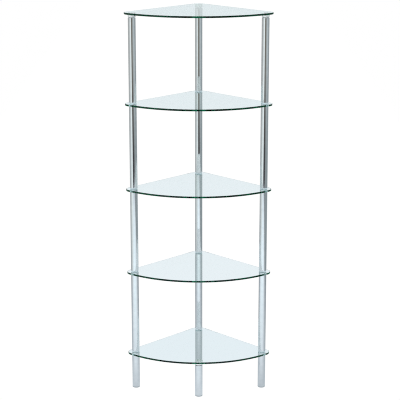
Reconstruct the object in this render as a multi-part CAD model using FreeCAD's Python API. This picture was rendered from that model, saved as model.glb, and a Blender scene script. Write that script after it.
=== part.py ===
# Free-standing corner shelf unit: five quarter-round glass shelves on three posts of chromed steel tube.
# Each post is a stack of tubes, and double-ended studs clamp the drilled shelves between the tube ends.
# The top shelf has no holes: its posts screw to discs bonded under the glass. A fourth, front leg hangs from
# a bonded disc too and carries the curved edge of the lowest shelf.
# Millimetres, +Z up, floor at Z 0, origin under the middle of the footprint.
# The two walls of the room lie along the -X side and the +Y side.
import math
import os

import FreeCAD
import Part

Vector = FreeCAD.Vector

# Shelf glass
shelf_side = 350.0  # along each wall, over the rounded corners
corner_radius = 25.0  # the posts stand at the centres of the rounded corners
glass_thickness = 6.0
edge_arris = 0.8  # ground bevel along the upper and lower rim
glass_hole_diameter = 12.0

# Posts and legs
tube_diameter = 25.0
tube_wall = 1.2
tube_rim_bevel = 0.4
tier_tube_length = 271.5
leg_tube_length = 116.0
tier_count = 4
front_leg_inset = 25.0  # from the curved edge to the front leg's axis

# Screwed joints
stud_diameter = 8.0
stud_tip_bevel = 1.0
stud_grip = 12.0  # screwed into a tube plug
plug_length = 16.0
plug_rim_bevel = 0.5
ring_diameter = 24.0  # the plastic washers and the bushes' flanges
upper_ring_thickness = 4.0  # on the glass, under each tube
flange_thickness = 1.5  # under the glass, on each tube

# Discs bonded under the glass
disc_height = 9.5
disc_rim_bevel = 0.6
disc_stud_grip = 7.0  # screwed into the disc
disc_hole_spare = 1.0  # left free above the stud's tip
disc_washer_diameter = 16.0  # narrower than the tube, so a dark groove shows
disc_washer_thickness = 2.0

# Foot caps
foot_height = 4.0
foot_edge_radius = 2.0
spigot_length = 14.0
spigot_wall = 1.8
spigot_slack = 0.8  # from the spigot to the bore, bridged by the gripping fins
fin_count = 3
fin_thickness = 1.0

# Clearances, on the radius
press_clearance = 0.05  # a plug or a fin in a tube
thread_clearance = 0.05  # a stud in a tapped hole
bush_clearance = 0.2  # a bush in a glass hole, and a stud in a bush or washer
bush_end_gap = 0.3  # the bush's collar stops this far below the upper face of the glass

# Radii
tube_radius = tube_diameter / 2
bore_radius = tube_radius - tube_wall
stud_radius = stud_diameter / 2
tapped_radius = stud_radius + thread_clearance
plain_hole_radius = stud_radius + bush_clearance
ring_radius = ring_diameter / 2
plug_radius = bore_radius - press_clearance

# Plan of the shelf, measured from the room's corner along the two walls
corner_to_tip = math.hypot(shelf_side - corner_radius, corner_radius)
front_radius = corner_to_tip + corner_radius  # the curved front touches both rounded tips
front_leg_offset = (front_radius - front_leg_inset) / math.sqrt(2)


def in_plan(along_back, along_left, z=0.0):
    """A point given by its distance from the left wall and from the back wall."""
    return Vector(along_back - shelf_side / 2, shelf_side / 2 - along_left, z)


post_places = {
    "left": in_plan(corner_radius, shelf_side - corner_radius),
    "right": in_plan(shelf_side - corner_radius, corner_radius),
    "back": in_plan(corner_radius, corner_radius),
}
front_place = in_plan(front_leg_offset, front_leg_offset)

# Heights of the underside of each shelf, numbered 1 at the top to 5 at the bottom
lowest_shelf = tier_count + 1
clamped_height = flange_thickness + glass_thickness + upper_ring_thickness  # between two tube ends
tier_pitch = clamped_height + tier_tube_length
underside = {lowest_shelf: foot_height + leg_tube_length + flange_thickness}
for shelf in range(tier_count, 1, -1):
    underside[shelf] = underside[shelf + 1] + tier_pitch
top_tube_end = underside[2] + glass_thickness + upper_ring_thickness + tier_tube_length
underside[1] = top_tube_end + disc_washer_thickness + disc_height
front_tube_end = underside[lowest_shelf] - disc_height - disc_washer_thickness


def save(name, solids):
    """Write one node: a single solid, or a group of like pieces."""
    shape = solids[0] if len(solids) == 1 else Part.makeCompound(solids)
    shape.exportStep("parts/" + name + ".step")


def turned(outline, place, z):
    """A turned piece: a closed outline of (radius, height) points spun about the upright axis at place."""
    points = [Vector(radius, 0, height) for radius, height in outline]
    face = Part.Face(Part.makePolygon(points + points[:1]))
    solid = face.revolve(Vector(0, 0, 0), Vector(0, 0, 1), 360)
    solid.translate(place + Vector(0, 0, z))
    return solid


def shelf_plate(z, holes):
    """A glass shelf: two straight wall edges, three rounded corners, a curved front, arrised and drilled."""
    r = corner_radius
    far = shelf_side - corner_radius
    tip_angle = math.atan2(corner_radius, far)
    tip_middle = (tip_angle - math.pi / 2) / 2
    diagonal = 1 / math.sqrt(2)

    def polar(a, b, radius, angle):
        return in_plan(a + radius * math.cos(angle), b + radius * math.sin(angle), z)

    def mirrored(a, b, radius, angle):
        return in_plan(b + radius * math.sin(angle), a + radius * math.cos(angle), z)

    right_touch = polar(0, 0, front_radius, tip_angle)
    left_touch = mirrored(0, 0, front_radius, tip_angle)
    front_middle = in_plan(front_radius * diagonal, front_radius * diagonal, z)
    back_middle = in_plan(r - r * diagonal, r - r * diagonal, z)
    edges = [
        Part.LineSegment(in_plan(r, 0, z), in_plan(far, 0, z)),
        Part.Arc(in_plan(far, 0, z), polar(far, r, r, tip_middle), right_touch),
        Part.Arc(right_touch, front_middle, left_touch),
        Part.Arc(left_touch, mirrored(far, r, r, tip_middle), in_plan(0, far, z)),
        Part.LineSegment(in_plan(0, far, z), in_plan(0, r, z)),
        Part.Arc(in_plan(0, r, z), back_middle, in_plan(r, 0, z)),
    ]
    outline = Part.Wire([edge.toShape() for edge in edges])
    plate = Part.Face(outline).extrude(Vector(0, 0, glass_thickness))
    rims = [edge for edge in plate.Edges if abs(edge.BoundBox.ZLength) < edge_arris]
    plate = plate.makeChamfer(edge_arris, rims)
    for place in holes:
        bit = Part.makeCylinder(glass_hole_diameter / 2, glass_thickness, place + Vector(0, 0, z))
        plate = plate.cut(bit)
    return plate


def tube(place, z, length):
    """A length of chromed tube with a small bevel round each outer rim."""
    bevel = tube_rim_bevel
    outline = [
        (bore_radius, 0),
        (tube_radius - bevel, 0),
        (tube_radius, bevel),
        (tube_radius, length - bevel),
        (tube_radius - bevel, length),
        (bore_radius, length),
    ]
    return turned(outline, place, z)


def plug(place, z):
    """The tapped plug pressed flush into a tube end."""
    bevel = plug_rim_bevel
    outline = [
        (tapped_radius, 0),
        (plug_radius - bevel, 0),
        (plug_radius, bevel),
        (plug_radius, plug_length - bevel),
        (plug_radius - bevel, plug_length),
        (tapped_radius, plug_length),
    ]
    return turned(outline, place, z)


def stud(place, z, length):
    """A threaded stud with a bevelled tip at each end."""
    bevel = stud_tip_bevel
    outline = [
        (0, 0),
        (stud_radius - bevel, 0),
        (stud_radius, bevel),
        (stud_radius, length - bevel),
        (stud_radius - bevel, length),
        (0, length),
    ]
    return turned(outline, place, z)


def washer(place, z, radius, thickness):
    """A flat ring round a stud."""
    outline = [
        (plain_hole_radius, 0),
        (radius, 0),
        (radius, thickness),
        (plain_hole_radius, thickness),
    ]
    return turned(outline, place, z)


def flanged_bush(place, z):
    """The plastic bush of a glass hole: a flange below the glass and a collar round the stud in the hole."""
    collar_radius = glass_hole_diameter / 2 - bush_clearance
    collar_top = flange_thickness + glass_thickness - bush_end_gap
    outline = [
        (plain_hole_radius, 0),
        (ring_radius, 0),
        (ring_radius, flange_thickness),
        (collar_radius, flange_thickness),
        (collar_radius, collar_top),
        (plain_hole_radius, collar_top),
    ]
    return turned(outline, place, z)


def bonded_disc(place, z):
    """A chromed disc with a blind tapped hole below, its flat upper face bonded to the glass."""
    bevel = disc_rim_bevel
    hole_depth = disc_stud_grip + disc_hole_spare
    outline = [
        (tapped_radius, 0),
        (tube_radius - bevel, 0),
        (tube_radius, bevel),
        (tube_radius, disc_height),
        (0, disc_height),
        (0, hole_depth),
        (tapped_radius, hole_depth),
    ]
    return turned(outline, place, z)


def foot_cap(place):
    """A moulded cap: a round-edged foot below the tube and a hollow finned spigot pushed up its bore."""
    spigot_radius = bore_radius - spigot_slack
    fin_radius = bore_radius - press_clearance
    fin_step = spigot_length / (fin_count + 1)
    outline = [(0, 0), (tube_radius, 0), (tube_radius, foot_height), (spigot_radius, foot_height)]
    for fin in range(1, fin_count + 1):
        low = foot_height + fin * fin_step - fin_thickness / 2
        high = low + fin_thickness
        outline += [(spigot_radius, low), (fin_radius, low), (spigot_radius, high)]
    outline += [
        (spigot_radius, foot_height + spigot_length),
        (spigot_radius - spigot_wall, foot_height + spigot_length),
        (spigot_radius - spigot_wall, foot_height),
        (0, foot_height),
    ]
    cap = turned(outline, place, 0)
    sole_rim = [
        edge
        for edge in cap.Edges
        if edge.BoundBox.ZMax < foot_height / 2 and edge.BoundBox.XLength > 2 * spigot_radius
    ]
    return cap.makeFillet(foot_edge_radius, sole_rim)


os.makedirs("parts", exist_ok=True)
leg_places = dict(post_places, front=front_place)
posts = list(post_places.values())

# Shelves, with the plastic bushes and washers and the studs of the drilled ones
stud_length = clamped_height + 2 * stud_grip
for shelf, z in underside.items():
    drilled = shelf > 1
    save(f"glass_shelf_{shelf}", [shelf_plate(z, posts if drilled else [])])
    if not drilled:
        continue
    lower_tube_end = z - flange_thickness
    upper_face = z + glass_thickness
    rings = [washer(p, upper_face, ring_radius, upper_ring_thickness) for p in posts]
    save(f"shelf_{shelf}_flanged_bushes", [flanged_bush(p, lower_tube_end) for p in posts])
    save(f"shelf_{shelf}_upper_washers", rings)
    save(f"shelf_{shelf}_studs", [stud(p, lower_tube_end - stud_grip, stud_length) for p in posts])

# Post tubes, four to a post, with a tapped plug at each end
for tier in range(1, tier_count + 1):
    low = underside[tier + 1] + glass_thickness + upper_ring_thickness
    high = low + tier_tube_length
    plugs = []
    for side, place in post_places.items():
        save(f"{side}_post_tube_{tier}", [tube(place, low, tier_tube_length)])
        plugs += [plug(place, low), plug(place, high - plug_length)]
    save(f"tier_{tier}_tube_plugs", plugs)

# Legs: a tube with a plug above and a foot cap below
leg_plugs = []
for side, place in leg_places.items():
    top = front_tube_end if side == "front" else foot_height + leg_tube_length
    save(f"{side}_leg_tube", [tube(place, foot_height, top - foot_height)])
    save(f"{side}_foot_cap", [foot_cap(place)])
    leg_plugs.append(plug(place, top - plug_length))
save("leg_tube_plugs", leg_plugs)

# Bonded discs: three under the top shelf, one over the front leg, each with a short stud and a steel washer
disc_seats = {f"{side}_top_disc": (place, top_tube_end) for side, place in post_places.items()}
disc_seats["front_leg_disc"] = (front_place, front_tube_end)
disc_stud_length = stud_grip + disc_washer_thickness + disc_stud_grip
disc_washer_size = (disc_washer_diameter / 2, disc_washer_thickness)
for name, (place, tube_end) in disc_seats.items():
    save(name, [bonded_disc(place, tube_end + disc_washer_thickness)])
save("disc_studs", [stud(p, z - stud_grip, disc_stud_length) for p, z in disc_seats.values()])
save("disc_washers", [washer(p, z, *disc_washer_size) for p, z in disc_seats.values()])
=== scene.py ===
import math

import bpy
import numpy as np
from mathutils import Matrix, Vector
from mathutils.geometry import delaunay_2d_cdt


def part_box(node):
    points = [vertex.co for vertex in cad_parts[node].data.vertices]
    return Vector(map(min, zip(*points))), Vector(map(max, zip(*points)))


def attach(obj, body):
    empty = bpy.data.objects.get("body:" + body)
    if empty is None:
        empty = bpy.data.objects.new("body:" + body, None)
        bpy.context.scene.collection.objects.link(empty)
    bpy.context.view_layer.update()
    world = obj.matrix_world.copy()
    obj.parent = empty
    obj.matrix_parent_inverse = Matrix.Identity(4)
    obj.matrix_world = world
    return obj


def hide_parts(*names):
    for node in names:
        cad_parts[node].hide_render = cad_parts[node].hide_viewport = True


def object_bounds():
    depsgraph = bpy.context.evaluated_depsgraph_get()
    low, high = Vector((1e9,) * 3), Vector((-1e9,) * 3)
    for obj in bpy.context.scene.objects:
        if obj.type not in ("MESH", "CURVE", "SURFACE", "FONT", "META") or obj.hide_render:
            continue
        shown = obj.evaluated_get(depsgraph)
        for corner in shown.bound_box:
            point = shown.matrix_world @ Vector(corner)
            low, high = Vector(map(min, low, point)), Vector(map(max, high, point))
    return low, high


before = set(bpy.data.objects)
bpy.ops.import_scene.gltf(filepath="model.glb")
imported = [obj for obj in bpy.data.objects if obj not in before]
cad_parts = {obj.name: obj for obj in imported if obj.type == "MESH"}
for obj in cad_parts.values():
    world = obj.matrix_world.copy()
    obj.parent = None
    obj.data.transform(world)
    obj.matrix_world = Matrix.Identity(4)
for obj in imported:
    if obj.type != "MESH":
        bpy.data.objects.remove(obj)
cad_low, cad_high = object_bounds()
scene = bpy.context.scene

# The lens: a long one on a high stand, level from left to right. It looks down along the diagonal of the
# room's corner, where the back post stands, and takes in the whole unit.
MM = 0.001
image_width_px = 400
focal_length_px = 1375.0
sensor_width_mm = 36.0
camera_distance = 4600 * MM  # on the floor plan, from the corner where the two walls meet
camera_height = 1810 * MM
camera_dip = math.radians(14.86)
camera_turn = math.radians(0.055)  # to the right, which puts the unit a pixel left of the middle
into_picture = Vector((-1, 1, 0)).normalized()
picture_right = Vector((1, 1, 0)).normalized()
upwards = Vector((0, 0, 1))
wall_corner = Vector((cad_low[0], cad_high[1], 0))

lens = bpy.data.cameras.new("long_lens")
lens.sensor_width = sensor_width_mm
lens.lens = focal_length_px / image_width_px * sensor_width_mm
camera = bpy.data.objects.new("camera", lens)
camera.location = wall_corner - camera_distance * into_picture + camera_height * upwards
along_floor = math.cos(camera_turn) * into_picture + math.sin(camera_turn) * picture_right
sight = math.cos(camera_dip) * along_floor - math.sin(camera_dip) * upwards
camera.rotation_euler = sight.to_track_quat("-Z", "Y").to_euler()
scene.collection.objects.link(camera)
scene.camera = camera

# White paper: a roll as wide as the studio, laid under the unit, its glow painted brightest in a pool in
# front of it, a little to the left. It burns out to white for the lens, and nearly so through the glass,
# which shows a faint shade painted round the unit's feet. Only the chrome sees how the painted light falls
# off.
paper_half_width = 1300 * MM
paper_to_front = 2700 * MM
paper_to_back = 14000 * MM
across = paper_half_width * picture_right
front_edge = -paper_to_front * into_picture
back_edge = paper_to_back * into_picture
corners = [front_edge - across, front_edge + across, back_edge + across, back_edge - across]
paper_mesh = bpy.data.meshes.new("paper")
paper_mesh.from_pydata(corners, [], [(0, 1, 2, 3)])
paper = bpy.data.objects.new("paper", paper_mesh)
scene.collection.objects.link(paper)


def linear(hex_colour):
    """A colour written as sRGB hex, as linear red, green, blue and alpha."""
    srgb = np.array([int(hex_colour[k:k + 2], 16) for k in (1, 3, 5)]) / 255
    rgb = np.where(srgb <= 0.04045, srgb / 12.92, ((srgb + 0.055) / 1.055) ** 2.4)
    return (*rgb.tolist(), 1.0)


def add_node(tree, kind, attributes=None, stops=(), inputs=(), **sockets):
    """Add a node with its properties, a ramp's stops, and the values or links of its sockets.

    The first two stops move the pair that a new ramp has, and each further one is added.
    A socket is given by its place in inputs, or by its name with _ for a space.
    A node given as a value stands for its first output.
    """
    node = tree.nodes.new(kind)
    for name, value in (attributes or {}).items():
        setattr(node, name, value)
    for k, (position, colour) in enumerate(stops):
        ramp = node.color_ramp.elements
        stop = ramp[k] if k < 2 else ramp.new(position)
        stop.position = position
        stop.color = linear(colour)
    by_name = [(node.inputs[name.replace("_", " ")], value) for name, value in sockets.items()]
    for socket, value in [*zip(node.inputs, inputs), *by_name]:
        if isinstance(value, bpy.types.Node):
            value = value.outputs[0]
        if isinstance(value, bpy.types.NodeSocket):
            tree.links.new(value, socket)
        else:
            socket.default_value = value
    return node


def new_material(name):
    """An empty material, with its node tree and the object coordinates that its patterns lie on."""
    material = bpy.data.materials.new(name)
    material.use_nodes = True
    tree = material.node_tree
    tree.nodes.clear()
    place = add_node(tree, "ShaderNodeTexCoord").outputs["Object"]
    return material, tree, place


# Glowing paper: an even white to the eye. Mirrored in the chrome, it is a painted bright pool with dimmer
# paper round it.
pool_to_front = 1400 * MM
pool_to_left = 250 * MM
pool_centre = -pool_to_front * into_picture - pool_to_left * picture_right
pool_reach = (2400 * MM, 2200 * MM, 1.0)
picture_turn = math.atan2(picture_right.y, picture_right.x)
pool_glow = 1.4
burnt_out_glow = 1.03
painted_shade_to = 750 * MM
unshaded_from = 950 * MM
painted_light_paper, tree, place = new_material("white_paper_with_painted_light")
pool_place = add_node(tree, "ShaderNodeMapping", {"vector_type": "TEXTURE"}, Vector=place,
                      Location=pool_centre, Rotation=(0, 0, picture_turn), Scale=pool_reach)
pool = add_node(tree, "ShaderNodeTexGradient", {"gradient_type": "SPHERICAL"}, Vector=pool_place)
# A painted pool of light: the paper's glow is brightest in the pool's middle and dimmer round it.
painted_pool_light = add_node(tree, "ShaderNodeValToRGB", stops=(
    (0.0, "#9a9ea2"), (1.0, "#f0fbff"), (0.22, "#a9aeb2"), (0.33, "#bbc0c5"), (0.43, "#d3d8dd"),
    (0.47, "#dde3e8"), (0.73, "#e9f2f7")), Fac=pool.outputs["Fac"])
mirrored_painted_pool = add_node(tree, "ShaderNodeEmission", Color=painted_pool_light, Strength=pool_glow)
paper_ray = add_node(tree, "ShaderNodeLightPath")
through_glass = paper_ray.outputs["Is Transmission Ray"]
# A painted shade: seen through the glass, the paper is a little darker round the unit's feet and fades to
# white further off.
from_unit = add_node(tree, "ShaderNodeVectorMath", {"operation": "LENGTH"}, Vector=place).outputs["Value"]
unshaded_share = add_node(tree, "ShaderNodeMapRange", Value=from_unit, From_Min=painted_shade_to, From_Max=unshaded_from)
white_with_painted_shade = add_node(tree, "ShaderNodeMixRGB", inputs=(unshaded_share, linear("#eff4fc"), linear("#f6f8ff")))
paper_white = add_node(tree, "ShaderNodeMixRGB", inputs=(through_glass, linear("#ffffff"), white_with_painted_shade))
burnt_out_paper = add_node(tree, "ShaderNodeEmission", Color=paper_white, Strength=burnt_out_glow)
seen_by_lens = add_node(tree, "ShaderNodeMath", {"operation": "MAXIMUM"},
                        inputs=(paper_ray.outputs["Is Camera Ray"], through_glass))
surface = add_node(tree, "ShaderNodeMixShader", inputs=(seen_by_lens, mirrored_painted_pool, burnt_out_paper))
add_node(tree, "ShaderNodeOutputMaterial", Surface=surface)
paper_mesh.materials.append(painted_light_paper)

# The room round the paper: a bright window to the front left, grey walls, and the unlit studio behind the
# lens, darker still along its floor. Overhead, and wherever it is seen through the glass, it is pale, and
# palest to the front. The lens sees only white past the paper. A broad soft lamp hangs over the unit.
room_glow = 1.2
floor_from = math.sin(math.radians(-9))
floor_to = math.sin(math.radians(-13))
lens_pale_from = math.sin(math.radians(9))
lens_pale_to = math.sin(math.radians(16))
side_pale_from = math.sin(math.radians(-2))
side_pale_to = math.sin(math.radians(6))
world = bpy.data.worlds.new("studio")
world.use_nodes = True
scene.world = world
tree = world.node_tree
tree.nodes.clear()
view_line = add_node(tree, "ShaderNodeTexCoord").outputs["Generated"]
lens_bearing = math.atan2(-into_picture.y, -into_picture.x)
turned_line = add_node(tree, "ShaderNodeMapping", Vector=view_line, Rotation=(0, 0, -lens_bearing))
# A bearing is a share of a turn: 0 behind the unit, 0.25 to the picture's left, 0.5 towards the lens.
bearing = add_node(tree, "ShaderNodeTexGradient", {"gradient_type": "RADIAL"}, Vector=turned_line)
walls = add_node(tree, "ShaderNodeValToRGB", stops=(
    (0.0, "#d8d8d7"), (1.0, "#d8d8d7"), (0.17, "#b1b1af"), (0.30, "#c2c3c2"), (0.37, "#f8fcfb"),
    (0.435, "#f8fcfb"), (0.46, "#7b766d"), (0.52, "#756f67"), (0.56, "#a7aaa8"), (0.68, "#c8cfd2"),
    (0.77, "#969da0"), (0.88, "#acb0b1")), Fac=bearing.outputs["Fac"])
unlit_floor = add_node(tree, "ShaderNodeValToRGB", stops=(
    (0.0, "#d6d8d8"), (1.0, "#d6d8d8"), (0.17, "#afb1b0"), (0.30, "#d4d8d8"), (0.37, "#f6fcfc"),
    (0.435, "#f6fcfc"), (0.46, "#474446"), (0.57, "#474749"), (0.63, "#9ea4a6"), (0.77, "#91999c"),
    (0.88, "#aab0b2")), Fac=bearing.outputs["Fac"])
rise = add_node(tree, "ShaderNodeSeparateXYZ", Vector=view_line).outputs["Z"]  # the sine of its elevation
below = add_node(tree, "ShaderNodeMapRange", Value=rise, From_Min=floor_from, From_Max=floor_to)
sides = add_node(tree, "ShaderNodeMixRGB", inputs=(below, walls, unlit_floor))
# The pale part starts at the horizon behind the unit, well above it over the lens, and halfway at the sides.
over_lens = add_node(tree, "ShaderNodeMapRange", {"interpolation_type": "SMOOTHSTEP"}, Value=rise,
                     From_Min=lens_pale_from, From_Max=lens_pale_to)
over_sides = add_node(tree, "ShaderNodeMapRange", {"interpolation_type": "SMOOTHSTEP"}, Value=rise,
                      From_Min=side_pale_from, From_Max=side_pale_to)
lens_share = add_node(tree, "ShaderNodeValToRGB", stops=(
    (0.0, "#000000"), (1.0, "#000000"), (0.14, "#000000"), (0.20, "#bcbcbc"), (0.36, "#bcbcbc"),
    (0.42, "#ffffff"), (0.58, "#ffffff"), (0.64, "#bcbcbc"), (0.80, "#bcbcbc"), (0.86, "#000000")),
    Fac=bearing.outputs["Fac"])
overhead = add_node(tree, "ShaderNodeMixRGB", inputs=(lens_share, over_sides, over_lens))
room_ray = add_node(tree, "ShaderNodeLightPath")
pale = add_node(tree, "ShaderNodeMath", {"operation": "MAXIMUM"},
                inputs=(overhead, room_ray.outputs["Is Transmission Ray"]))
pale_tone = add_node(tree, "ShaderNodeValToRGB", stops=(
    (0.0, "#d3d8db"), (1.0, "#d3d8db"), (0.36, "#d3d8db"), (0.42, "#eaecef"), (0.58, "#eaecef"),
    (0.64, "#d3d8db")), Fac=bearing.outputs["Fac"])
room_light = add_node(tree, "ShaderNodeMixRGB", inputs=(pale, sides, pale_tone))
room = add_node(tree, "ShaderNodeBackground", Color=room_light, Strength=room_glow)
backdrop = add_node(tree, "ShaderNodeBackground", Color=linear("#ffffff"))
sky = add_node(tree, "ShaderNodeMixShader", inputs=(room_ray.outputs["Is Camera Ray"], room, backdrop))
add_node(tree, "ShaderNodeOutputWorld", Surface=sky)

lamp_height = 3200 * MM
lamp_size = 2000 * MM
lamp_watts = 25.0
soft_top = bpy.data.lights.new("soft_top", "AREA")
soft_top.size = lamp_size
soft_top.energy = lamp_watts
top_lamp = bpy.data.objects.new("soft_top", soft_top)
top_lamp.location = lamp_height * upwards
scene.collection.objects.link(top_lamp)

# White stays pure white, light may cross the whole stack of shelves, and thin edges stay crisp.
scene.view_settings.view_transform = "Standard"
scene.cycles.max_bounces = 40
scene.cycles.transmission_bounces = 40
scene.cycles.glossy_bounces = 24
scene.cycles.filter_width = 1.1

# Foot caps: grey moulded plastic, pushed into the lower end of each leg tube. The round-edged sole is as wide
# as the tube, and the hollow spigot above it grips the bore with three thin fins.
post_axis = {}
for side in ("left", "right", "back", "front"):
    low, high = np.array(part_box(f"{side}_leg_tube"))
    post_axis[side] = (low + high)[:2] / 2
    tube_radius = (high - low)[0] / 2  # the same for every tube
tube_wall = 1.2 * MM
bore_radius = tube_radius - tube_wall
crease_angle = math.radians(30)  # faces that meet at more than this show a crisp line


def rim_arc(centre_radius, centre_height, radius, start, end, count):
    """Points (radius, height) along a circular arc of a profile, from one angle in degrees to another."""
    angle = np.radians(np.linspace(start, end, count))
    return np.column_stack([centre_radius + radius * np.cos(angle), centre_height + radius * np.sin(angle)])


def turned(name, profiles, steps=96, ring=True):
    """A surface of revolution on a grid: row i is profile point i and column j is the angle 2 pi j / steps.

    profiles lists (axis, radius, height). A point is axis + (radius cos angle, radius sin angle) at that
    height, and radius may change along the profile or round the turn too. The outer wall runs upwards.
    A ring joins its last row to its first, and any other piece is closed by a flat disc at each end.
    Weighted normals keep the shading of a long straight wall straight up to its rounded rims.
    """
    angle = 2 * np.pi * np.arange(steps) / steps
    points, faces = [], []
    for axis, radius, height in profiles:
        rows = len(height)
        radius = np.broadcast_to(np.reshape(radius, (rows, -1)), (rows, steps))
        first = sum(map(len, points))
        grid = np.stack([axis[0] + radius * np.cos(angle), axis[1] + radius * np.sin(angle),
                         np.broadcast_to(np.reshape(height, (rows, 1)), (rows, steps))], axis=-1)
        points.append(grid.reshape(-1, 3))
        row = np.arange(rows if ring else rows - 1)[:, None]
        column = np.arange(steps)[None, :]
        next_row = (row + 1) % rows
        next_column = (column + 1) % steps
        quads = np.stack([row * steps + column, row * steps + next_column,
                          next_row * steps + next_column, next_row * steps + column], axis=-1)
        faces += (quads.reshape(-1, 4) + first).tolist()
        if not ring:
            rim = np.arange(steps) + first
            faces += [rim[::-1].tolist(), (rim + (rows - 1) * steps).tolist()]
    mesh = bpy.data.meshes.new(name)
    mesh.from_pydata(np.concatenate(points), [], faces)
    mesh.shade_smooth()
    mesh.set_sharp_from_angle(angle=crease_angle)
    piece = bpy.data.objects.new(name, mesh)
    piece.modifiers.new("straight_walls", "WEIGHTED_NORMAL").keep_sharp = True
    scene.collection.objects.link(piece)
    return piece


def fit(piece, material, cad_node):
    """Give a piece its material and slot, and let it stand for the solid that it dresses."""
    piece.data.materials.append(material)
    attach(piece, "root")
    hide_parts(cad_node)


# Moulded polyethylene: an even grey with a faint cloudiness and the fine dimples of a spark-eroded mould,
# so the light on it is broad and soft.
cloud_size = 9 * MM
dimple_size = 0.6 * MM  # drawn coarser than the real texture, so that it shows
dimple_depth = 0.05 * MM
foot_plastic, tree, place = new_material("moulded_grey_polyethylene")
clouds = add_node(tree, "ShaderNodeTexNoise", Vector=place, Scale=1 / cloud_size, Detail=3.0)
greys = add_node(tree, "ShaderNodeValToRGB", stops=((0.3, "#a9b1b5"), (0.7, "#bac2c6")), Fac=clouds)
sheen = add_node(tree, "ShaderNodeMapRange", Value=clouds, To_Min=0.38, To_Max=0.5)
dimples = add_node(tree, "ShaderNodeTexNoise", Vector=place, Scale=1 / dimple_size, Detail=2.0)
dents = add_node(tree, "ShaderNodeBump", Height=dimples, Strength=0.3, Distance=dimple_depth)
surface = add_node(tree, "ShaderNodeBsdfPrincipled", Base_Color=greys, Roughness=sheen, IOR=1.5, Normal=dents)
add_node(tree, "ShaderNodeOutputMaterial", Surface=surface)

sole_height = 4 * MM
sole_round = 2 * MM
shoulder_round = 0.3 * MM
spigot_slack = 0.8 * MM
spigot_wall = 1.8 * MM
fin_count = 3
fin_thickness = 1 * MM
press_clearance = 0.05 * MM
spigot_radius = bore_radius - spigot_slack
spigot_bore = spigot_radius - spigot_wall
fin_radius = bore_radius - press_clearance
for side in post_axis:
    node = f"{side}_foot_cap"
    floor_height, spigot_top = (corner[2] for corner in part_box(node))
    sole_top = floor_height + sole_height
    cap_profile = [
        rim_arc(tube_radius - sole_round, floor_height + sole_round, sole_round, -90, 0, count=7),
        rim_arc(tube_radius - shoulder_round, sole_top - shoulder_round, shoulder_round, 0, 90, count=4),
        [(spigot_radius, sole_top)]]
    fin_step = (spigot_top - sole_top) / (fin_count + 1)
    for fin in range(1, fin_count + 1):
        fin_middle = sole_top + fin * fin_step
        fin_low = fin_middle - fin_thickness / 2
        fin_high = fin_middle + fin_thickness / 2
        cap_profile.append([(spigot_radius, fin_low), (fin_radius, fin_low), (spigot_radius, fin_high)])
    cap_profile.append([(spigot_radius, spigot_top), (spigot_bore, spigot_top), (spigot_bore, sole_top)])
    radius, height = np.concatenate(cap_profile).T
    cap = turned(f"{side}_leg_cap", [(post_axis[side], radius, height)], ring=False)
    fit(cap, foot_plastic, node)

# Posts and legs: cold-drawn steel tube, polished and chromium plated, cut square with the rims lightly
# rounded. Each tube stands on the joint below it and carries the shelf above.
rim_round = 0.4 * MM
tube_nodes = [f"{side}_leg_tube" for side in post_axis]
tube_nodes += [f"{side}_post_tube_{tier}" for tier in (1, 2, 3, 4) for side in ("left", "right", "back")]

# Bright chromium plate: a cool grey mirror that shows the room as upright stripes, slightly softened by the
# drawing marks along the tube and by a faint unevenness of the plate.
haze_size = 14 * MM
haze_depth = 0.02 * MM
draw_line_width = 0.5 * MM  # drawn coarser than real drawing marks, so that they show
draw_line_length = 60 * MM
draw_line_scale = (1 / draw_line_width, 1 / draw_line_width, 1 / draw_line_length)
chrome, tree, place = new_material("bright_chromium_plate")
plate_haze = add_node(tree, "ShaderNodeTexNoise", Vector=place, Scale=1 / haze_size, Detail=4.0)
plate_tone = add_node(tree, "ShaderNodeValToRGB", stops=((0.3, "#cdd3d6"), (0.7, "#d6dbdd")), Fac=plate_haze)
stretched = add_node(tree, "ShaderNodeMapping", Vector=place, Scale=draw_line_scale)
draw_lines = add_node(tree, "ShaderNodeTexNoise", Vector=stretched, Scale=1.0, Detail=2.0)
polish = add_node(tree, "ShaderNodeMapRange", Value=draw_lines, To_Min=0.02, To_Max=0.09)
unevenness = add_node(tree, "ShaderNodeBump", Height=plate_haze, Strength=0.15, Distance=haze_depth)
surface = add_node(tree, "ShaderNodeBsdfPrincipled", Base_Color=plate_tone, Roughness=polish, Metallic=1.0,
                   Normal=unevenness)
add_node(tree, "ShaderNodeOutputMaterial", Surface=surface)

for node in tube_nodes:
    low, high = np.array(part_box(node))
    radius, height = np.concatenate([
        [(bore_radius, low[2])],
        rim_arc(tube_radius - rim_round, low[2] + rim_round, rim_round, -90, 0, count=5),
        rim_arc(tube_radius - rim_round, high[2] - rim_round, rim_round, 0, 90, count=5),
        [(bore_radius, high[2])]]).T
    tube = turned(node.replace("_tube", "_chrome_tube"), [((low + high)[:2] / 2, radius, height)])
    fit(tube, chrome, node)

# Tube plugs: turned steel, zinc plated and pressed flush into the tube ends, tapped for the studs.
# The studs are threaded rod that clamps each drilled shelf between two plugs.
thread_pitch = 1.25 * MM
thread_depth = 0.65 * MM
tip_bevel = 1 * MM
stud_steps = 24
rows_per_turn = 6
stud_radius = post_axis["left"][0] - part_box("shelf_2_studs")[0][0]
drilled_axes = [post_axis[side] for side in ("left", "right", "back")]

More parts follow.
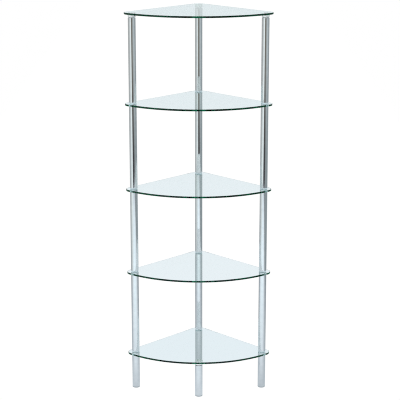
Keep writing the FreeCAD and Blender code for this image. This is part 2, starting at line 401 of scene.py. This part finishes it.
# Blue zinc plate: a dull, pale metal with a cloudy bloom that runs from bluish grey to straw.
bloom_size = 3 * MM
zinc, tree, place = new_material("blue_zinc_plate")
bloom = add_node(tree, "ShaderNodeTexNoise", Vector=place, Scale=1 / bloom_size, Detail=5.0)
zinc_tone = add_node(tree, "ShaderNodeValToRGB", Fac=bloom,
                     stops=((0.3, "#9da4a9"), (0.55, "#b9bec0"), (0.75, "#c3c1b8")))
dullness = add_node(tree, "ShaderNodeMapRange", Value=bloom, To_Min=0.28, To_Max=0.45)
surface = add_node(tree, "ShaderNodeBsdfPrincipled", Base_Color=zinc_tone, Roughness=dullness, Metallic=1.0)
add_node(tree, "ShaderNodeOutputMaterial", Surface=surface)
for node in ["leg_tube_plugs"] + [f"tier_{tier}_tube_plugs" for tier in (1, 2, 3, 4)]:
    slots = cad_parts[node].data.materials
    slots.clear()
    slots.append(zinc)


def threaded_rod(foot, tip):
    """Radius and height of a threaded rod, row by row up it and column by column round it.

    The thread is a triangle wave that climbs one pitch in a turn, and a bevel cuts it down towards each end.
    """
    height = np.linspace(foot, tip, int((tip - foot) / thread_pitch * rows_per_turn))
    turn = np.arange(stud_steps) / stud_steps
    flank = np.abs(2 * ((height[:, None] / thread_pitch - turn) % 1) - 1)
    to_end = np.minimum(height - foot, tip - height)[:, None]
    return np.minimum(stud_radius - thread_depth * flank, stud_radius - tip_bevel + to_end), height


for shelf in (2, 3, 4, 5):
    node = f"shelf_{shelf}_studs"
    low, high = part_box(node)
    rod = threaded_rod(low[2], high[2])
    shelf_studs = turned(f"shelf_{shelf}_threaded_studs", [(axis, *rod) for axis in drilled_axes],
                         steps=stud_steps, ring=False)
    fit(shelf_studs, zinc, node)

# Washers and bushes: milky moulded polyethylene. A thick washer lies on the glass under each tube, and a
# flanged bush fills the hole from below, so that no metal touches the glass.
stud_hole_radius = 4.2 * MM
collar_radius = 5.8 * MM
flange_thickness = 1.5 * MM
soft_edge = 0.1 * MM
film = 0.03 * MM  # air left between two pressed faces, so that light passes as it does between real ones
ring_steps = 64
ring_radius = post_axis["left"][0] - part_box("shelf_2_upper_washers")[0][0]

# Milky polyethylene: nearly white with a cool tint and a soft shine, slightly uneven where the melt flowed
# and sank.
flow_size = 2.5 * MM
sink_depth = 0.03 * MM
ring_plastic, tree, place = new_material("milky_polyethylene")
flow = add_node(tree, "ShaderNodeTexNoise", Vector=place, Scale=1 / flow_size, Detail=2.0)
milky_tint = add_node(tree, "ShaderNodeValToRGB", stops=((0.3, "#e4f5fd"), (0.7, "#eefaff")), Fac=flow)
shine = add_node(tree, "ShaderNodeMapRange", Value=flow, To_Min=0.28, To_Max=0.4)
sink_marks = add_node(tree, "ShaderNodeBump", Height=flow, Strength=0.3, Distance=sink_depth)
surface = add_node(tree, "ShaderNodeBsdfPrincipled", Base_Color=milky_tint, Roughness=shine, IOR=1.5,
                   Normal=sink_marks)
add_node(tree, "ShaderNodeOutputMaterial", Surface=surface)


def washer_profile(radius, low, high):
    """Radius and height of a flat ring on a stud, with slightly rounded outer rims."""
    return np.concatenate([
        [(stud_hole_radius, low)],
        rim_arc(radius - soft_edge, low + soft_edge, soft_edge, -90, 0, count=4),
        rim_arc(radius - soft_edge, high - soft_edge, soft_edge, 0, 90, count=4),
        [(stud_hole_radius, high)]]).T


for shelf in (2, 3, 4, 5):
    node = f"shelf_{shelf}_upper_washers"
    low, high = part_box(node)
    profile = washer_profile(ring_radius, low[2] + film, high[2] - film)
    washers = turned(f"shelf_{shelf}_milky_washers", [(axis, *profile) for axis in drilled_axes],
                     steps=ring_steps)
    fit(washers, ring_plastic, node)

    node = f"shelf_{shelf}_flanged_bushes"
    low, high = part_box(node)
    flange_top = low[2] + flange_thickness - film
    flange = washer_profile(ring_radius, low[2] + film, flange_top)
    collar = [(collar_radius, flange_top), (collar_radius, high[2]), (stud_hole_radius, high[2])]
    profile = np.hstack([flange[:, :-1], np.transpose(collar)])
    bushes = turned(f"shelf_{shelf}_milky_bushes", [(axis, *profile) for axis in drilled_axes],
                    steps=ring_steps)
    fit(bushes, ring_plastic, node)

# Shelves: 6 mm toughened float glass, cut to a quarter round with rounded corners, edges polished and rims
# ground to a small arris. The four lower ones are drilled for the studs; the top one is whole.
corner_radius = post_axis["left"][0] - cad_low[0]
front_radius = math.dist(post_axis["left"], wall_corner[:2]) + corner_radius
tip_angle = math.degrees(math.atan2(corner_radius, post_axis["right"][0] - cad_low[0]))
arris = 0.8 * MM
hole_radius = 6 * MM
hole_steps = 48


def outline_arc(centre, radius, start, end, count):
    """Part of the shelf's outline: points on an arc, anticlockwise, with the outward direction at each."""
    angle = np.radians(np.linspace(start, end, count))
    outward = np.column_stack([np.cos(angle), np.sin(angle)])
    return np.hstack([np.array(centre) + radius * outward, outward])


shelf_outline = np.concatenate([
    outline_arc(post_axis["back"], corner_radius, 90, 180, count=25),
    outline_arc(post_axis["left"], corner_radius, 180, 270 + tip_angle, count=25),
    outline_arc(wall_corner[:2], front_radius, -90 + tip_angle, -tip_angle, count=181)[1:-1],
    outline_arc(post_axis["right"], corner_radius, -tip_angle, 90, count=25)])


def glass_plate(name, bottom, top, holes):
    """A flat plate: the outline carried up through an arris, the polished edge and another arris.

    Rows of the edge are the outline moved inwards by (arris, 0, 0, arris). The two faces are triangles
    between the innermost rows and the rims of the holes, and each hole is a plain cylinder wall.
    The attribute "ground" is 1 on the arrises and hole walls, and 0 on the polished edge and the faces.
    """
    count = len(shelf_outline)
    inward = np.array([arris, 0, 0, arris])
    level = np.array([bottom, bottom + arris, top - arris, top])
    rows = shelf_outline[None, :, :2] - inward[:, None, None] * shelf_outline[None, :, 2:]
    edge = np.dstack([rows, np.broadcast_to(level[:, None], rows.shape[:2])]).reshape(-1, 3)
    row = np.arange(3)[:, None]
    column = np.arange(count)[None, :]
    next_column = (column + 1) % count
    band = np.stack([row * count + column, row * count + next_column,
                     (row + 1) * count + next_column, (row + 1) * count + column], axis=-1).reshape(-1, 4)

    angle = 2 * np.pi * np.arange(hole_steps) / hole_steps
    circle = hole_radius * np.column_stack([np.cos(angle), np.sin(angle)])
    flat = np.concatenate([rows[0], *(circle + centre for centre in holes)])
    rim_starts = [count + k * hole_steps for k in range(len(holes))]
    loops = [list(range(count)), *(list(range(start, start + hole_steps)) for start in rim_starts)]
    inside_outline = 1
    same_point = 1e-7
    _, _, triangles, origin, _, _ = delaunay_2d_cdt(flat.tolist(), [], loops, inside_outline, same_point)
    triangles = np.array(origin)[:, 0][np.array(triangles)]
    for centre in holes:
        middle = flat[triangles].mean(axis=1)
        triangles = triangles[np.linalg.norm(middle - centre, axis=1) > hole_radius]

    lower_rims = len(edge) + np.arange(len(flat) - count)
    upper_rims = lower_rims + len(lower_rims)
    rim_points = [np.column_stack([flat[count:], np.full(len(lower_rims), z)]) for z in (bottom, top)]
    lower_face = np.concatenate([np.arange(count), lower_rims])[triangles[:, ::-1]]
    upper_face = np.concatenate([np.arange(count) + 3 * count, upper_rims])[triangles]
    around = np.arange(len(lower_rims)).reshape(-1, hole_steps)
    onward = np.roll(around, -1, axis=1)
    hole_walls = np.stack([lower_rims[onward], lower_rims[around],
                           upper_rims[around], upper_rims[onward]], axis=-1).reshape(-1, 4)

    mesh = bpy.data.meshes.new(name)
    mesh.from_pydata(np.concatenate([edge, *rim_points]), [],
                     band.tolist() + hole_walls.tolist() + lower_face.tolist() + upper_face.tolist())
    ground = np.zeros(len(mesh.polygons))
    ground[:count] = 1
    ground[2 * count:3 * count + len(hole_walls)] = 1
    mesh.attributes.new("ground", "FLOAT", "FACE").data.foreach_set("value", ground)
    mesh.shade_smooth()
    mesh.set_sharp_from_angle(angle=crease_angle)
    piece = bpy.data.objects.new(name, mesh)
    scene.collection.objects.link(piece)
    return piece


# Float glass: nearly colourless through the face, deep green along it. The face has the long, slight ripple
# of toughening and faint wiping marks; arrises and hole walls keep the fine frosting of the grinding wheel.
ripple_length = 180 * MM
ripple_depth = 0.2 * MM
wipe_size = 35 * MM
wiped_roughness = 0.012
ground_roughness = 0.1
glass, tree, place = new_material("toughened_float_glass")
ripple = add_node(tree, "ShaderNodeTexNoise", Vector=place, Scale=1 / ripple_length, Detail=0.0)
roll = add_node(tree, "ShaderNodeBump", Height=ripple, Strength=0.2, Distance=ripple_depth)
wiped = add_node(tree, "ShaderNodeTexNoise", Vector=place, Scale=1 / wipe_size, Detail=5.0)
face_haze = add_node(tree, "ShaderNodeMapRange", Value=wiped, From_Min=0.45, From_Max=0.8, To_Min=0.0,
                     To_Max=wiped_roughness)
frosting = add_node(tree, "ShaderNodeAttribute", {"attribute_name": "ground"}).outputs["Fac"]
clarity = add_node(tree, "ShaderNodeMath", {"operation": "MULTIPLY_ADD"},
                   inputs=(frosting, ground_roughness, face_haze))
# The tint holds back the reflections of the white room, which would wash out the green of the edges.
surface = add_node(tree, "ShaderNodeBsdfPrincipled", Base_Color=linear("#ffffff"), Roughness=clarity,
                   IOR=1.52, Transmission_Weight=1.0, Specular_Tint=linear("#7aaca2"), Normal=roll)
depth_green = add_node(tree, "ShaderNodeVolumeAbsorption", Color=linear("#00c5ab"), Density=15.0)
add_node(tree, "ShaderNodeOutputMaterial", Surface=surface, Volume=depth_green)

for shelf in (1, 2, 3, 4, 5):
    node = f"glass_shelf_{shelf}"
    low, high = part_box(node)
    plate = glass_plate(f"shelf_{shelf}_glass", low[2], high[2], drilled_axes if shelf > 1 else [])
    fit(plate, glass, node)

# Discs: turned steel, chromium plated, bonded under the top shelf over each post and under the lowest shelf
# over the front leg. A short stud and a narrow zinc-plated washer join each one to its tube.
disc_bevel = 0.6 * MM
upper_bevel = disc_bevel / 2
disc_washer_thickness = 2 * MM
tapped_radius = 4.05 * MM
tapped_depth = 8 * MM
plug_grip = 12 * MM  # of the stud, in the tube's plug
disc_grip = 7 * MM
disc_washer_radius = post_axis["left"][0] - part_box("disc_washers")[0][0]
disc_nodes = {"left": "left_top_disc", "right": "right_top_disc", "back": "back_top_disc",
              "front": "front_leg_disc"}

# Satin chromium plate: the same metal over blasted steel, so each reflection spreads into an even glow. Its
# tone is painted far paler than the bright plate's, a painted highlight that keeps the discs white.
grain_size = 0.4 * MM  # drawn coarser than the real grit, so that it shows
pit_depth = 0.02 * MM
satin_chrome, tree, place = new_material("satin_chromium_plate")
grain = add_node(tree, "ShaderNodeTexNoise", Vector=place, Scale=1 / grain_size, Detail=2.0)
# A painted highlight: the near-white tone is paler than chromium itself.
satin_tone_with_painted_highlight = add_node(tree, "ShaderNodeValToRGB", stops=((0.3, "#f4f6f6"), (0.7, "#fafbfb")), Fac=grain)
satin_glow = add_node(tree, "ShaderNodeMapRange", Value=grain, To_Min=0.58, To_Max=0.7)
pits = add_node(tree, "ShaderNodeBump", Height=grain, Strength=0.2, Distance=pit_depth)
surface = add_node(tree, "ShaderNodeBsdfPrincipled", Base_Color=satin_tone_with_painted_highlight, Roughness=satin_glow,
                   Metallic=1.0, Normal=pits)
add_node(tree, "ShaderNodeOutputMaterial", Surface=surface)

washer_profiles = []
stud_profiles = []
for side, node in disc_nodes.items():
    underside, glass_face = (corner[2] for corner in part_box(node))
    top = glass_face - film
    radius, height = np.concatenate([
        [(tapped_radius, underside + tapped_depth), (tapped_radius, underside)],
        rim_arc(tube_radius - disc_bevel, underside + disc_bevel, disc_bevel, -90, 0, count=5),
        rim_arc(tube_radius - upper_bevel, top - upper_bevel, upper_bevel, 0, 90, count=5)]).T
    disc = turned(node.replace("disc", "bonded_disc"), [(post_axis[side], radius, height)], ring=False)
    fit(disc, satin_chrome, node)
    tube_end = underside - disc_washer_thickness
    washer_profiles.append((post_axis[side], *washer_profile(disc_washer_radius, tube_end, underside)))
    stud_profiles.append((post_axis[side], *threaded_rod(tube_end - plug_grip, underside + disc_grip)))
disc_washers = turned("disc_steel_washers", washer_profiles, steps=ring_steps)
fit(disc_washers, zinc, "disc_washers")
disc_studs = turned("disc_threaded_studs", stud_profiles, steps=stud_steps, ring=False)
fit(disc_studs, zinc, "disc_studs")
